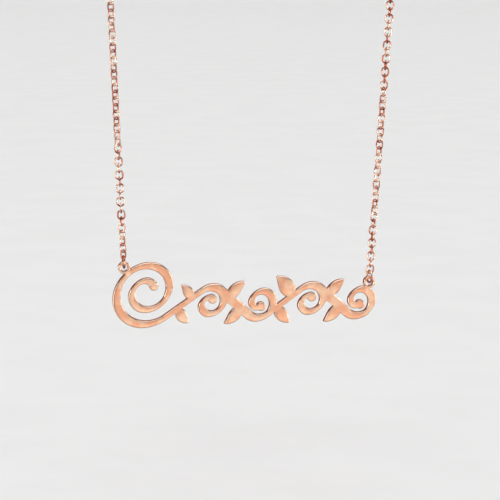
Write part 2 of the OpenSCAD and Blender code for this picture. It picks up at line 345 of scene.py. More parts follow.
@dataclass(frozen=True)
class PlateFinish:
    """Rose plating on the plate: a satin face, polished rims with a painted highlight and cut walls with
    painted shade.
    """

    face_warm: tuple[float, ...] = (0.91, 0.285, 0.094, 1)
    face_pink: tuple[float, ...] = (0.97, 0.505, 0.288, 1)
    # Painted highlight: the rims' pale cream colour stands in for the light that the bevels catch; their
    # lower roughness is their own polish.
    rim: tuple[float, ...] = (1.0, 0.80, 0.64, 1)
    # Painted shade: the cut walls' dark brown colour stands in for the dark that they mirror; their higher
    # roughness and streaks are their own.
    wall: tuple[float, ...] = (0.58, 0.14, 0.075, 1)
    edge: tuple[float, ...] = (0.45, 0.20, 0.14, 1)
    face_roughness: Point = (0.20, 0.30)
    rim_roughness: float = 0.16
    wall_roughness: float = 0.34
    relief: Point = (0.12, 0.02)
    clouds: Grain = Grain(520, 1.5)
    cloud_band: Point = (0.42, 0.58)
    satin: Grain = Grain(1600, 3)
    satin_band: Point = (0.3, 0.7)
    brushed: Grain = Grain(9000, 2, (0.12, 1, 1))
    streaks: Grain = Grain(26000, 1, (1, 0.06, 1))

    def build(self) -> bpy.types.Material:
        """Makes the material, which reads the plate's rim and wall attributes and paints the rims paler as a
        highlight and the walls darker as shade.

        Returns:
            The material.
        """
        graph = SurfaceGraph("rose_plate")
        rim = graph.value("ShaderNodeAttribute", output="Fac", attribute_name="rim")
        wall = graph.value("ShaderNodeAttribute", output="Fac", attribute_name="wall")
        clouds = graph.span(graph.noise(self.clouds), 0, 1, *self.cloud_band)
        face = graph.blend(clouds, self.face_warm, self.face_pink)
        brushed, streaks = graph.noise(self.brushed), graph.noise(self.streaks)
        # The colour blends in a painted highlight on the rims and painted shade on the walls.
        colour = graph.blend(wall, graph.blend(rim, face, self.rim), self.wall)
        satin = graph.span(graph.noise(self.satin), *self.face_roughness, *self.satin_band)
        roughness = graph.mix(wall, graph.mix(rim, satin, self.rim_roughness), self.wall_roughness)
        return graph.metal(colour, roughness, graph.mix(wall, brushed, streaks), self.relief, self.edge)


@dataclass(frozen=True)
class WireFinish:
    """Polished rose plating on wire, with slight differences in colour and gloss."""

    name: str
    warm: tuple[float, ...] = (0.52, 0.155, 0.088, 1)
    pale: tuple[float, ...] = (1.0, 0.68, 0.52, 1)
    edge: tuple[float, ...] = (0.55, 0.29, 0.22, 1)
    roughness: Point = (0.10, 0.22)
    relief: Point = (0.10, 0.01)
    clouds: Grain = Grain(700, 1)
    cloud_band: Point = (0.42, 0.58)
    gloss: Grain = Grain(3500, 3)
    gloss_band: Point = (0.3, 0.7)
    scratches: Grain = Grain(24000, 2)

    def build(self) -> bpy.types.Material:
        """Makes the material.

        Returns:
            The material.
        """
        graph = SurfaceGraph(self.name)
        clouds = graph.span(graph.noise(self.clouds), 0, 1, *self.cloud_band)
        colour = graph.blend(clouds, self.warm, self.pale)
        roughness = graph.span(graph.noise(self.gloss), *self.roughness, *self.gloss_band)
        return graph.metal(colour, roughness, graph.noise(self.scratches), self.relief, self.edge)


# Mesh helpers


def add_object(name: str, data: bpy.types.ID) -> bpy.types.Object:
    """Puts a new object in the scene.

    Args:
        name: Its name.
        data: Its mesh, light or camera.

    Returns:
        The object.
    """
    added = bpy.data.objects.new(name, data)
    bpy.context.scene.collection.objects.link(added)
    return added


def path_mesh(name: str, spots: Sequence[Any]) -> bpy.types.Mesh:
    """Makes a row of edges.

    Args:
        name: The mesh's name.
        spots: The points that it runs through, as the mesh keeps them.

    Returns:
        The mesh.
    """
    mesh = bpy.data.meshes.new(name)
    mesh.from_pydata(spots, [(i, i + 1) for i in range(len(spots) - 1)], [])
    return mesh


def round_turns(count: int, shift: float = 0.0) -> list[float]:
    """Even turns round a circle in radians, shifted by a share of a step."""
    return [2 * math.pi * (k + shift) / count for k in range(count)]


def level_circle(x: float, y: float, z: float, r: float, count: int) -> list[Vector]:
    """Points round a circle that lies level."""
    return [Vector((x + r * math.cos(t), y + r * math.sin(t), z)) for t in round_turns(count)]


@dataclass
class Facets:
    """Points and faces that are gathered for one piece."""

    points: list[Vector] = field(default_factory=list)
    faces: list[tuple[int, ...]] = field(default_factory=list)

    def add(self, points: Iterable[Vector], faces: Iterable[Sequence[int]]) -> None:
        """Adds a shape.

        Args:
            points: Its points.
            faces: Its faces, which number its own points.
        """
        base = len(self.points)
        self.points.extend(points)
        self.faces.extend(tuple(base + i for i in face) for face in faces)

    def skin(self, rows: Sequence[Sequence[Vector]], closed: bool = False, capped: bool = False) -> None:
        """Adds a skin over rows of points that run round, each row closed.

        Args:
            rows: Rows with the same number of points each.
            closed: Whether the last row joins the first.
            capped: Whether the ends get a face each.
        """
        sides, count = len(rows[0]), len(rows)
        faces = [
            (a * sides + k, a * sides + (k + 1) % sides, b * sides + (k + 1) % sides, b * sides + k)
            for a in range(count if closed else count - 1)
            for b in [(a + 1) % count]
            for k in range(sides)
        ]
        if capped:
            faces.append(tuple(range(sides - 1, -1, -1)))
            faces.append(tuple((count - 1) * sides + k for k in range(sides)))
        self.add([p for row in rows for p in row], faces)

    def piece(self, name: str, material: bpy.types.Material) -> bpy.types.Object:
        """Makes the piece, in metres and shaded smooth.

        Args:
            name: The piece's name.
            material: Its finish.

        Returns:
            The piece.
        """
        mesh = bpy.data.meshes.new(name)
        mesh.from_pydata([p * MM for p in self.points], [], self.faces)
        mesh.validate()
        mesh.polygons.foreach_set("use_smooth", [True] * len(mesh.polygons))
        mesh.materials.append(material)
        return add_object(name, mesh)


def tube_rows(path: Sequence[Vector], radii: Sequence[float], sides: int, side: Vector,
              closed: bool = False) -> list[list[Vector]]:
    """Lays circles round a flat path.

    Args:
        path: Points of the path.
        radii: The tube's radius at each point.
        sides: Points of each circle.
        side: The direction square to the path's plane.
        closed: Whether the path is a loop.

    Returns:
        One row of points for each point of the path.
    """
    rows = []
    for i, point in enumerate(path):
        before = path[i - 1] if closed or i else path[0]
        after = path[(i + 1) % len(path)] if closed or i + 1 < len(path) else path[-1]
        out = (after - before).normalized().cross(side)
        rows.append([
            point + radii[i] * (math.cos(a) * side + math.sin(a) * out)
            for a in round_turns(sides)
        ])
    return rows


def seat(piece: bpy.types.Object, material_slot: str, *nodes: str) -> bpy.types.Object:
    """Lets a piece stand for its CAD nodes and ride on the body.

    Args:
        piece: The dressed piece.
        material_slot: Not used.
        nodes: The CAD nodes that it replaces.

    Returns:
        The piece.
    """
    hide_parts(*nodes)
    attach(piece, BODY)
    return piece


def report(piece: bpy.types.Object) -> None:
    """Logs a finished piece and its number of triangles."""
    log.info("%s: %d triangles", piece.name, sum(len(p.vertices) - 2 for p in piece.data.polygons))


# The plate


@dataclass(frozen=True)
class Pen:
    """A broad pen: a stroke is thick across it and thin along it."""

    thick: float = 1.5
    thin: float = 0.8
    angle: float = 38.0

    def width(self, heading: float) -> float:
        """Width of a stroke that runs at this heading, in degrees."""
        off = math.radians(heading - self.angle)
        return math.hypot(self.thick * math.sin(off), self.thin * math.cos(off))


@dataclass(frozen=True)
class Winding:
    """How a scroll winds in: its turn, and the shares of radius and width left at its end."""

    turn: float
    end: float
    ease: float
    taper: float

    def share(self, turn: float) -> float:
        """Share of the scroll's radius that is left after a turn, in degrees."""
        return 1 - (1 - self.end) * (turn / self.turn) ** self.ease


class Side(Enum):
    """The two sides of the necklace, as the sign of X."""

    LEFT = -1
    RIGHT = 1


@dataclass
class Stroke:
    """A pen stroke's path with the share of the pen's width at each point."""

    path: list[Point]
    shares: list[float]

    def mesh(self) -> bpy.types.Mesh:
        """Makes the path a row of edges that carries the shares.

        Returns:
            The mesh.
        """
        mesh = path_mesh("stroke", [(x, y, 0) for x, y in self.path])
        mesh.attributes.new("share", "FLOAT", "POINT").data.foreach_set("value", self.shares)
        return mesh

    def heading(self, i: int) -> float:
        """Heading of the path at one of its points, in radians."""
        (ax, ay), (bx, by) = self.path[max(i - 1, 0)], self.path[min(i + 1, len(self.path) - 1)]
        return math.atan2(by - ay, bx - ax)


def pen_graph() -> ShapeGraph:
    """Builds the tree that turns a path into a flat stroke of a broad pen.

    Returns:
        The tree, with the pen's sizes as its inputs.
    """
    graph = ShapeGraph("pen stroke")
    thick, thin, angle = (graph.size(name) for name in ("Thick", "Thin", "Angle"))
    curve = graph.node("GeometryNodeMeshToCurve", {"Mesh": graph.shape})
    upright = graph.node("GeometryNodeSetCurveNormal", {"Curve": curve.outputs[0]}, mode="Z_UP")
    tangent = graph.node("ShaderNodeSeparateXYZ", {0: graph.node("GeometryNodeInputTangent").outputs[0]})
    x, y = (Value(graph.tree, tangent.outputs[axis]) for axis in "XY")
    off = y.math("ARCTAN2", x) - angle
    across, along = thick * off.math("SINE"), thin * off.math("COSINE")
    width = (across * across + along * along).math("SQRT")
    share = graph.value("GeometryNodeInputNamedAttribute", {"Name": "share"}, data_type="FLOAT")
    nib = graph.node("GeometryNodeCurvePrimitiveLine", {"Start": (-1, 0, 0), "End": (1, 0, 0)})
    ribbon = graph.node(
        "GeometryNodeCurveToMesh",
        {"Curve": upright.outputs[0], "Profile Curve": nib.outputs[0], "Scale": width * share * 0.5},
    )
    return graph.close(ribbon.outputs[0])


@dataclass(frozen=True)
class Leaf:
    """A pointed leaf that curls over."""

    length: float = 3.4
    width: float = 1.9
    belly: float = 0.75
    fullness: float = 0.8
    steps: int = 24


@dataclass
class Nameplate:
    """The openwork plate: scrolls on a wavy stem, leaves between them and an eye at each end."""

    length: float = 41.0
    thickness: float = 1.0
    swash_height: float = 10.0
    swash_drop: float = 0.6
    band_height: float = 5.9
    scrolls: int = 4
    slant: float = 8.0
    most_bow: float = 80.0
    pen: Pen = Pen()
    drop: float = 1.4
    leaf: Leaf = Leaf()
    leaf_step: float = 1.1
    leaf_angle: float = 72.0
    leaf_curl: float = 42.0
    first_leaves: Point = (0.8, 0.85)
    leaves: Point = (0.95, 0.95)
    tall_leaves: Point = (1.2, 0.95)
    tall_pair: int = 1
    eye_bore: float = 1.05
    eye_wall: float = 0.38
    eye_sink: float = 0.15
    swash_eye_turn: float = 170.0
    curl_eye_turn: float = 110.0
    lowest_turn: float = 40.0
    widest_turn: float = 130.0
    swash_bow_share: float = 0.8
    root_share: float = 0.96
    small_wind: Winding = Winding(345, 0.3, 0.84, 0.7)
    swash_wind: Winding = Winding(625, 0.24, 1.05, 0.8)
    step: float = 2.5
    round_sides: int = 72
    rim: float = 0.1
    rim_steps: int = 3
    rim_at_ends: float = 0.35
    nearest: float = 0.05
    corner: float = 24.0
    crease: float = 36.0
    fewest_points: int = 6
    merge: float = 1e-6
    fill_merge: float = 1e-7
    longest_mitre: float = 1.8
    untangling: int = 12

    def __post_init__(self) -> None:
        """Works out the rest of the plate's layout as the CAD source does."""
        flat, steep = self.pen.width(0), self.pen.width(90)
        self.swash_r = (self.swash_height - flat) / (
            self.swash_wind.share(self.lowest_turn) + self.swash_wind.share(self.lowest_turn + 180)
        )
        self.swash_y = (
            self.swash_r * self.swash_wind.share(self.lowest_turn)
            + flat / 2 - self.swash_drop - self.band_height / 2
        )
        self.scroll_r = (self.band_height - flat) / 2
        lean = math.cos(math.radians(self.slant))

        def row(bow: float) -> float:
            """Works out how long the plate is.

            Args:
                bow: How far the stem swings.

            Returns:
                The length.
            """
            near = math.cos(math.radians(bow))
            return (
                self.swash_r * self.swash_wind.share(self.widest_turn) / lean + steep / 2
                + self.swash_x(bow) + (self.scrolls - 1) * 2 * self.scroll_r / near
                + self.scroll_r / lean + steep / 2
            )

        self.bow = halve(row, self.length, 0, self.most_bow)
        self.pitch = 2 * self.scroll_r / math.cos(math.radians(self.bow))
        self.strokes = self.draw_strokes()
        self.eyes = self.find_eyes()

    def swash_x(self, bow: float) -> float:
        """Distance along the plate from the large scroll's middle to the first small one's."""
        reach = (self.swash_r + self.scroll_r) / math.cos(math.radians(self.swash_bow_share * bow))
        return math.sqrt(reach**2 - self.swash_y**2)

    def lean_over(self, x: float, y: float) -> Point:
        """Slants a point."""
        return x + y * math.tan(math.radians(self.slant)), y

    def centre(self, i: int) -> Point:
        """Middle of a small scroll."""
        return self.swash_x(self.bow) + i * self.pitch, 0.0

    @staticmethod
    def arch(i: int) -> int:
        """The way that the stem arches at a small scroll."""
        return 1 if i % 2 == 0 else -1

    def wind_in(self, centre: Point, r: float, start: float, way: int, wind: Winding) -> Stroke:
        """Draws a scroll's winding.

        Args:
            centre: The scroll's middle.
            r: Its outer radius.
            start: Where it starts, in degrees.
            way: 1 where it turns to the left, -1 to the right.
            wind: How it winds in.

        Returns:
            The stroke.
        """
        path, shares = [], []
        for k in range(round(wind.turn / self.step) + 1):
            turn = k * self.step
            a, reach = math.radians(start + way * turn), r * wind.share(turn)
            path.append(self.lean_over(centre[0] + reach * math.cos(a), centre[1] + reach * math.sin(a)))
            shares.append(self.root_share * (1 - (1 - wind.taper) * turn / wind.turn))
        return Stroke(path, shares)

    def draw_strokes(self) -> list[Stroke]:
        """Draws all strokes.

        Returns:
            The large scroll, the small ones and the stem, in this order.
        """
        swash_centre = (0.0, self.swash_y)
        dip = math.degrees(math.atan2(-self.swash_y, self.swash_x(self.bow)))
        start = dip - self.swash_bow_share * self.bow
        strokes = [self.wind_in(swash_centre, self.swash_r, start, -1, self.swash_wind)]
        for i in range(self.scrolls):
            way = self.arch(i)
            strokes.append(self.wind_in(self.centre(i), self.scroll_r, way * self.bow, -way, self.small_wind))
        a = math.radians(start)
        stem = [self.lean_over(self.swash_r * math.cos(a), self.swash_y + self.swash_r * math.sin(a))]
        for i in range(self.scrolls):
            first = 180 + start if i == 0 else 180 - self.bow
            steps = math.ceil((first - self.bow) / self.step)
            for k in range(steps + 1):
                turn = math.radians(first + (self.bow - first) * k / steps)
                stem.append(self.lean_over(
                    self.centre(i)[0] + self.scroll_r * math.cos(turn),
                    self.arch(i) * self.scroll_r * math.sin(turn),
                ))
        strokes.append(Stroke(stem, [1.0] * len(stem)))
        return strokes

    def beside(self, stroke: Stroke, i: int, way: int, clear: float) -> Point:
        """Finds a point beside a stroke.

        Args:
            stroke: The stroke.
            i: The number of the stroke's point that it lies beside.
            way: 1 where it lies to the left, -1 to the right.
            clear: How far out it lies from the stroke's edge.

        Returns:
            The point.
        """
        heading = stroke.heading(i)
        out = way * (self.pen.width(math.degrees(heading)) * stroke.shares[i] / 2 + clear)
        return stroke.path[i][0] - out * math.sin(heading), stroke.path[i][1] + out * math.cos(heading)

    def find_eyes(self) -> dict[Side, Point]:
        """Finds the middles of the two eyes.

        Returns:
            The middle on each side.
        """
        clear = self.eye_bore / 2 + self.eye_wall - self.eye_sink
        last = self.scrolls - 1
        return {
            Side.LEFT: self.beside(self.strokes[0], round(self.swash_eye_turn / self.step), 1, clear),
            Side.RIGHT: self.beside(
                self.strokes[1 + last], round(self.curl_eye_turn / self.step), self.arch(last), clear
            ),
        }

    def disc(self, centre: Point, diameter: float) -> list[Point]:
        """Lays points round a circle.

        Args:
            centre: Its middle.
            diameter: Its diameter.

        Returns:
            The points.
        """
        return [
            (centre[0] + diameter / 2 * math.cos(a), centre[1] + diameter / 2 * math.sin(a))
            for a in round_turns(self.round_sides, 0.5)
        ]

    def leaf_at(self, root: Point, angle: float, size: float, curl: float) -> list[Point]:
        """Outline of a leaf.

        Args:
            root: Where it leaves the stem.
            angle: The way that it leaves, in degrees.
            size: Its share of the full size.
            curl: How far it curls over, in degrees.

        Returns:
            The outline's points.
        """
        leaf = self.leaf
        rows: dict[int, list[Point]] = {1: [], -1: []}
        for k in range(leaf.steps + 1):
            t = k / leaf.steps
            half = leaf.width * size / 2 * max(math.sin(math.pi * t**leaf.belly), 0) ** leaf.fullness
            mid, edge = math.radians(angle + curl * t / 2), math.radians(angle + curl * t)
            along = t * leaf.length * size
            for way in rows:
                rows[way].append(self.lean_over(
                    root[0] + along * math.cos(mid) - way * half * math.sin(edge),
                    root[1] + along * math.sin(mid) + way * half * math.cos(edge),
                ))
        return rows[1] + rows[-1][-2:0:-1]

    def leaf_pair(self, middle: Point, way: int, sizes: Point) -> list[list[Point]]:
        """Draws the leaves on both sides of the straight stem.

        Args:
            middle: The middle of the straight stem.
            way: The way that the stem arches before them, 1 or -1.
            sizes: Each leaf's share of the full size.

        Returns:
            Their outlines.
        """
        pair = []
        for k, size in enumerate(sizes):
            side = 180 * k + (0 if way > 0 else 180)
            a = math.radians(side + 180 - way * (90 - self.bow))
            root = (middle[0] + self.leaf_step * math.cos(a), middle[1] + self.leaf_step * math.sin(a))
            pair.append(self.leaf_at(root, side + way * self.leaf_angle, size, -way * self.leaf_curl))
        return pair

    def shapes(self) -> tuple[list[Point], list[list[int]], int]:
        """Gathers all flat shapes.

        Returns:
            The points, the faces and the number of faces that are metal. The rest are bores.
        """
        points: list[Point] = []
        faces: list[list[int]] = []

        def put(outline: Sequence[Point]) -> None:
            """Adds one outline as a face."""
            faces.append(list(range(len(points), len(points) + len(outline))))
            points.extend(outline)

        graph = pen_graph()
        for stroke in self.strokes:
            ribbon = graph.grow("stroke", stroke.mesh(), None, {
                "Thick": self.pen.thick, "Thin": self.pen.thin, "Angle": math.radians(self.pen.angle),
            })
            base = len(points)
            points.extend((v.co.x, v.co.y) for v in ribbon.data.vertices)
            faces.extend([base + i for i in p.vertices] for p in ribbon.data.polygons)
            bpy.data.objects.remove(ribbon)
        for scroll in self.strokes[:-1]:
            put(self.disc(scroll.path[-1], self.drop))
        stem = self.strokes[-1]
        for i in (0, len(stem.path) - 1):
            put(self.disc(stem.path[i], self.pen.width(math.degrees(stem.heading(i))) / self.root_share))
        for eye in self.eyes.values():
            put(self.disc(eye, self.eye_bore + 2 * self.eye_wall))
        half = self.pitch / 2
        sprays = [(self.centre(0)[0] - half, -1, self.first_leaves)]
        for i in range(self.scrolls - 1):
            sizes = self.tall_leaves if i == self.tall_pair else self.leaves
            sprays.append((self.centre(i)[0] + half, self.arch(i), sizes))
        for x, way, sizes in sprays:
            for outline in self.leaf_pair((x, 0.0), way, sizes):
                put(outline)
        metal = len(faces)
        for eye in self.eyes.values():
            put(self.disc(eye, self.eye_bore))
        return points, faces, metal

    def outlines(self) -> list[list[Vector]]:
        """Merges the flat shapes and walks round the metal, which lies to the left.

        Returns:
            The closed outlines, with points that lie too near each other left out.
        """
        points, faces, metal = self.shapes()
        merged = delaunay_2d_cdt([Vector(p) for p in points], [], faces, 1, self.merge)
        spots, triangles, sources = merged[0], merged[2], merged[5]
        edges: dict[int, list[int]] = {}
        sides: set[tuple[int, int]] = set()
        for triangle, source in zip(triangles, sources):
            if source and max(source) < metal:
                sides.update(zip(triangle, (*triangle[1:], triangle[0])))
        for a, b in sides:
            if (b, a) not in sides:
                edges.setdefault(a, []).append(b)
        loops = []
        while edges:
            start = next(iter(edges))
            loop, at = [], start
            while at in edges:
                loop.append(at)
                follow = edges[at].pop()
                if not edges[at]:
                    del edges[at]
                at = follow
            loops.append([spots[i] for i in loop])
        return [thin for thin in map(self.thin_out, loops) if len(thin) >= self.fewest_points]

    def thin_out(self, loop: list[Vector]) -> list[Vector]:
        """Leaves out points that crowd the one before them, but keeps corners.

        Args:
            loop: The outline.

        Returns:
            The points that are kept.
        """
        def bend(i: int) -> float:
            """Turn of the outline at a point, in degrees."""
            into, out = loop[i] - loop[i - 1], loop[(i + 1) % len(loop)] - loop[i]
            return math.degrees(abs(into.angle_signed(out, 0.0))) if into.length and out.length else 0.0

        kept: list[tuple[Vector, bool]] = []
        for i, spot in enumerate(loop):
            sharp = bend(i) > self.corner
            if kept and (spot - kept[-1][0]).length < self.nearest:
                if sharp and not kept[-1][1]:
                    kept[-1] = (spot, True)
                continue
            kept.append((spot, sharp))
        if len(kept) > 1 and (kept[0][0] - kept[-1][0]).length < self.nearest:
            kept.pop(0 if kept[-1][1] else -1)
        return [spot for spot, _ in kept]

    def inset(self, loop: list[Vector], depth: float) -> list[Vector]:
        """Moves an outline into the metal.

        Args:
            loop: The outline.
            depth: How far in.

        Returns:
            The moved points, with those that would cross drawn together.
        """
        moved = []
        for i, spot in enumerate(loop):
            into, out = (spot - loop[i - 1]).normalized(), (loop[(i + 1) % len(loop)] - spot).normalized()
            normal = Vector((-into.y - out.y, into.x + out.x))
            size = normal.length
            reach = min(2 / size, self.longest_mitre) if size > self.merge else 1.0
            moved.append(spot + normal.normalized() * depth * reach)
        for _ in range(self.untangling):
            crossed = False
            for i in range(len(loop)):
                j = (i + 1) % len(loop)
                if (loop[j] - loop[i]).dot(moved[j] - moved[i]) < 0:
                    moved[i] = moved[j] = (moved[i] + moved[j]) / 2
                    crossed = True
            if not crossed:
                break
        return moved

    def build(self, place: Callable[[Point], Point], finish: PlateFinish) -> bpy.types.Object:
        """Builds the plate with rounded rims.

        Args:
            place: Where a flat point of the plate lies, as X and Z.
            finish: The plating.

        Returns:
            The plate.
        """
        facets = Facets()
        rims: list[float] = []
        walls: list[float] = []
        half = self.thickness / 2
        inner: list[Vector] = []
        fills: list[list[int]] = []
        ends: list[tuple[int, int]] = []

        def solid(spot: Vector, y: float) -> Vector:
            """The point in space for a flat point at a depth."""
            x, z = place((spot.x, spot.y))
            return Vector((x, y, z))

        turns = [math.pi / 2 * k / self.rim_steps for k in range(self.rim_steps + 1)]
        flat, upright = turns[0], turns[-1]
        for loop in self.outlines():
            edge = self.inset(loop, self.rim)
            base, rows = len(facets.points), []
            for face, order in ((-1, turns), (1, turns[::-1])):
                for turn in order:
                    part = 1 - math.sin(turn)
                    depth = self.rim * (1 - math.cos(turn))
                    rows.append([solid(a.lerp(b, part), face * (half - depth)) for a, b in zip(loop, edge)])
                    # The rim amount carries the rims' polish and their painted highlight; the wall amount
                    # carries the walls' painted shade.
                    rims.extend([1.0 if flat < turn < upright else self.rim_at_ends] * len(loop))
                    walls.extend([1.0 if turn == upright else 0.0] * len(loop))
            facets.skin([row[::-1] for row in rows])
            count = len(loop)
            back = base + (len(rows) - 1) * count
            fills.append(list(range(len(inner), len(inner) + count)))
            inner.extend(edge)
            ends.extend((base + count - 1 - k, back + count - 1 - k) for k in range(count))
        filled = delaunay_2d_cdt(inner, [], fills, 1, self.fill_merge)
        spots: list[tuple[int, int]] = []
        for spot, sources in zip(filled[0], filled[3]):
            if sources:
                spots.append(ends[sources[0]])
            else:
                spots.append((len(facets.points), len(facets.points) + 1))
                facets.points.extend((solid(spot, -half), solid(spot, half)))
                rims.extend((0.0, 0.0))
                walls.extend((0.0, 0.0))
        for triangle, sources in zip(filled[2], filled[5]):
            if len(sources) % 2:
                facets.faces.append(tuple(spots[i][0] for i in triangle))
                facets.faces.append(tuple(spots[i][1] for i in reversed(triangle)))
        return self.dress(facets, rims, walls, finish)

    def dress(self, facets: Facets, rims: list[float], walls: list[float],
              finish: PlateFinish) -> bpy.types.Object:
        """Makes the plate's object, marks its rims and walls and gives it its plating.

        Args:
            facets: Its points and faces.
            rims: How far each point belongs to a polished rim, which is also painted paler as a highlight.
            walls: How far each point belongs to a cut wall, which is painted darker as shade.
            finish: The plating.

        Returns:
            The plate.
        """
        plate = facets.piece("nameplate_scrollwork", finish.build())
        for name, amounts in (("rim", rims), ("wall", walls)):
            plate.data.attributes.new(name, "FLOAT", "POINT").data.foreach_set("value", amounts)
        plate.data.set_sharp_from_angle(angle=math.radians(self.crease))
        plate.modifiers.new("flat faces", "WEIGHTED_NORMAL").keep_sharp = True
        return seat(plate, "plate", "nameplate")


def halve(measure: Callable[[float], float], wanted: float, low: float, high: float,
          tries: int = 60) -> float:
    """Finds where a rising measure takes a value, by halving its range.

    Args:
        measure: The measure.
        wanted: The value that it is to take.
        low: The start of the range.
        high: The end of the range.
        tries: How often the range is halved.

    Returns:
        The place.
    """
    for _ in range(tries):
        middle = (low + high) / 2
        if measure(middle) > wanted:
            high = middle
        else:
            low = middle
    return (low + high) / 2


# The way that the necklace hangs


# How far each jump ring is turned about its side
RING_TURNS = {Side.LEFT: 4.0, Side.RIGHT: 12.0}


@dataclass(frozen=True)
class Fits:
    """Wires, bores and air of the pieces that hold each other."""

    link_length: float = 1.6
    link_width: float = 1.3
    link_wire: float = 0.24
    ring_wire: float = 0.3
    ring_play: float = 0.5
    clasp_ring_wire: float = 0.5
    clasp_ring_bore: float = 2.6
    clasp_length: float = 10.6
    hook_wire: float = 1.1
    clasp_thickness: float = 1.8
    tail_bore: float = 1.5
    tail_wall: float = 0.5
    tail_thickness: float = 0.7
    clear: float = 0.11
    slant_share: float = 1.4
    clasp_ring_turn: float = 10.0

    @property
    def slant_clear(self) -> float:
        """Air where a ring stands askew."""
        return self.slant_share * self.clear

    def ring_out(self, bore: float, thickness: float, inner: float, turn: float) -> float:
        """Works out where a ring through a bore hangs.

        Args:
            bore: The bore's diameter.
            thickness: How thick the metal round the bore is.
            inner: The ring's inner diameter.
            turn: How far the ring is turned, in degrees.

        Returns:
            The distance from the bore's middle to the ring's.
        """
        skew = math.radians(turn)
        return (
            math.sqrt((bore / 2) ** 2 - (thickness / 2 * math.tan(skew)) ** 2)
            + math.sqrt((inner / 2 - self.slant_clear) ** 2 - (thickness / 2 / math.cos(skew)) ** 2)
        )


@dataclass
class Hang:
    """Where every piece lies when the necklace hangs over its round peg."""

    plate: Nameplate
    fits: Fits = Fits()
    loop: float = 450.0
    peg: float = 53.0
    shift: float = 2.2

    def __post_init__(self) -> None:
        """Works out how low the plate hangs, as the CAD source does."""
        fits = self.fits
        self.clasp_hold = fits.clasp_length - fits.hook_wire / 2 - fits.tail_bore / 2 - fits.tail_wall
        self.ring_r = (fits.clasp_ring_bore + fits.clasp_ring_wire) / 2
        hook_out = fits.clasp_ring_bore / 2 - fits.slant_clear - fits.hook_wire / 2
        self.tail_out = fits.ring_out(
            fits.tail_bore, fits.tail_thickness, fits.clasp_ring_bore, fits.clasp_ring_turn
        )
        self.clasp_ring_x = (self.clasp_hold + hook_out + self.tail_out) / 2
        self.r = math.hypot((self.peg + fits.clasp_thickness) / 2, self.clasp_ring_x)
        self.z = -self.peg / 2
        left, right = (self.plate.eyes[side] for side in (Side.LEFT, Side.RIGHT))
        self.plate_x = -self.shift - (left[0] + right[0]) / 2
        between = math.dist(left, right)
        self.drop = halve(
            lambda drop: sum(self.length(side, drop) for side in Side) + between,
            self.loop, 2 * self.r, self.loop,
        )
        self.plate_z = self.z - self.drop

    def reach(self, side: Side, drop: float) -> tuple[float, float, float]:
        """Works out how a side runs for a drop of the plate.

        Args:
            side: The side.
            drop: How far the plate hangs below the peg's middle.

        Returns:
            The side's lean in radians, its straight length and its whole length.
        """
        x, y = self.plate.eyes[side]
        out, down = side.value * (self.plate_x + x), drop - y
        far = math.hypot(out, down)
        lean = math.asin(self.r / far) - math.atan2(out, down)
        straight = math.sqrt(far**2 - self.r**2)
        return lean, straight, straight + self.r * (math.pi / 2 + lean)

    def length(self, side: Side, drop: float) -> float:
        """Whole length of a side."""
        return self.reach(side, drop)[2]

    def eye(self, side: Side) -> Vector:
        """Middle of an eye."""
        x, y = self.plate.eyes[side]
        return Vector((self.plate_x + x, 0, self.plate_z + y))

    def place(self, spot: Point) -> Point:
        """Where a flat point of the plate lies, as X and Z."""
        return self.plate_x + spot[0], self.plate_z + spot[1]

    def at(self, side: Side, s: float) -> tuple[Vector, float]:
        """Finds a place on a side.

        Args:
            side: The side.
            s: The distance along it from its eye.

        Returns:
            The point, and the side's tilt there in radians.
        """
        lean, straight, _ = self.reach(side, self.drop)
        bend = max(0.0, s - straight) / self.r
        tilt = side.value * (lean - bend)
        if s < straight:
            return self.eye(side) + s * Vector((math.sin(tilt), 0, math.cos(tilt))), tilt
        a = bend - lean
        return Vector((side.value * self.r * math.cos(a), 0, self.z + self.r * math.sin(a))), tilt

    def jump_ring_r(self) -> float:
        """Radius of a jump ring, to the middle of its wire."""
        return (self.plate.thickness + self.fits.ring_play + self.fits.ring_wire) / 2

    def jump_ring_s(self, side: Side) -> float:
        """Finds where a jump ring's middle lies.

        Args:
            side: The ring's side.

        Returns:
            The distance along the side from its eye.
        """
        thickness = self.plate.thickness
        return self.fits.ring_out(
            self.plate.eye_bore, thickness, thickness + self.fits.ring_play, RING_TURNS[side]
        )

    def clasp_ring_s(self, side: Side) -> float:
        """Where a clasp ring's middle lies along its side."""
        return self.length(side, self.drop) - self.r * math.asin(self.clasp_ring_x / self.r)

    def links(self, side: Side) -> tuple[float, float, int]:
        """Shares a side out into links.

        Args:
            side: The side.

        Returns:
            The first link's place, the distance from link to link and the number of links.
        """
        fits = self.fits
        reach = fits.link_length - fits.link_wire
        first = (
            self.jump_ring_s(side) + self.jump_ring_r()
            - (fits.ring_wire + fits.link_wire) / 2 - fits.slant_clear + reach / 2
        )
        last = (
            self.clasp_ring_s(side) - self.ring_r
            + (fits.clasp_ring_wire + fits.link_wire) / 2 + fits.slant_clear - reach / 2
        )
        gaps = math.ceil((last - first) / (reach - fits.link_wire - fits.clear))
        return first, (last - first) / gaps, gaps + 1


# The chain


@dataclass(frozen=True)
class Twist:
    """How a side's even links are turned, in degrees: at the start, and from two links on.

    Each later turn is a pair of the link where it begins and the turn, and the links change over
    to it along the run. The odd links stand square to the even ones.
    """

    start: float
    first: tuple[float, float]
    second: tuple[float, float]
    run: float = 4.0


TWISTS = {
    Side.LEFT: Twist(45, (6, 0), (18, 45)),
    Side.RIGHT: Twist(0, (10, 45), (29, 0)),
}


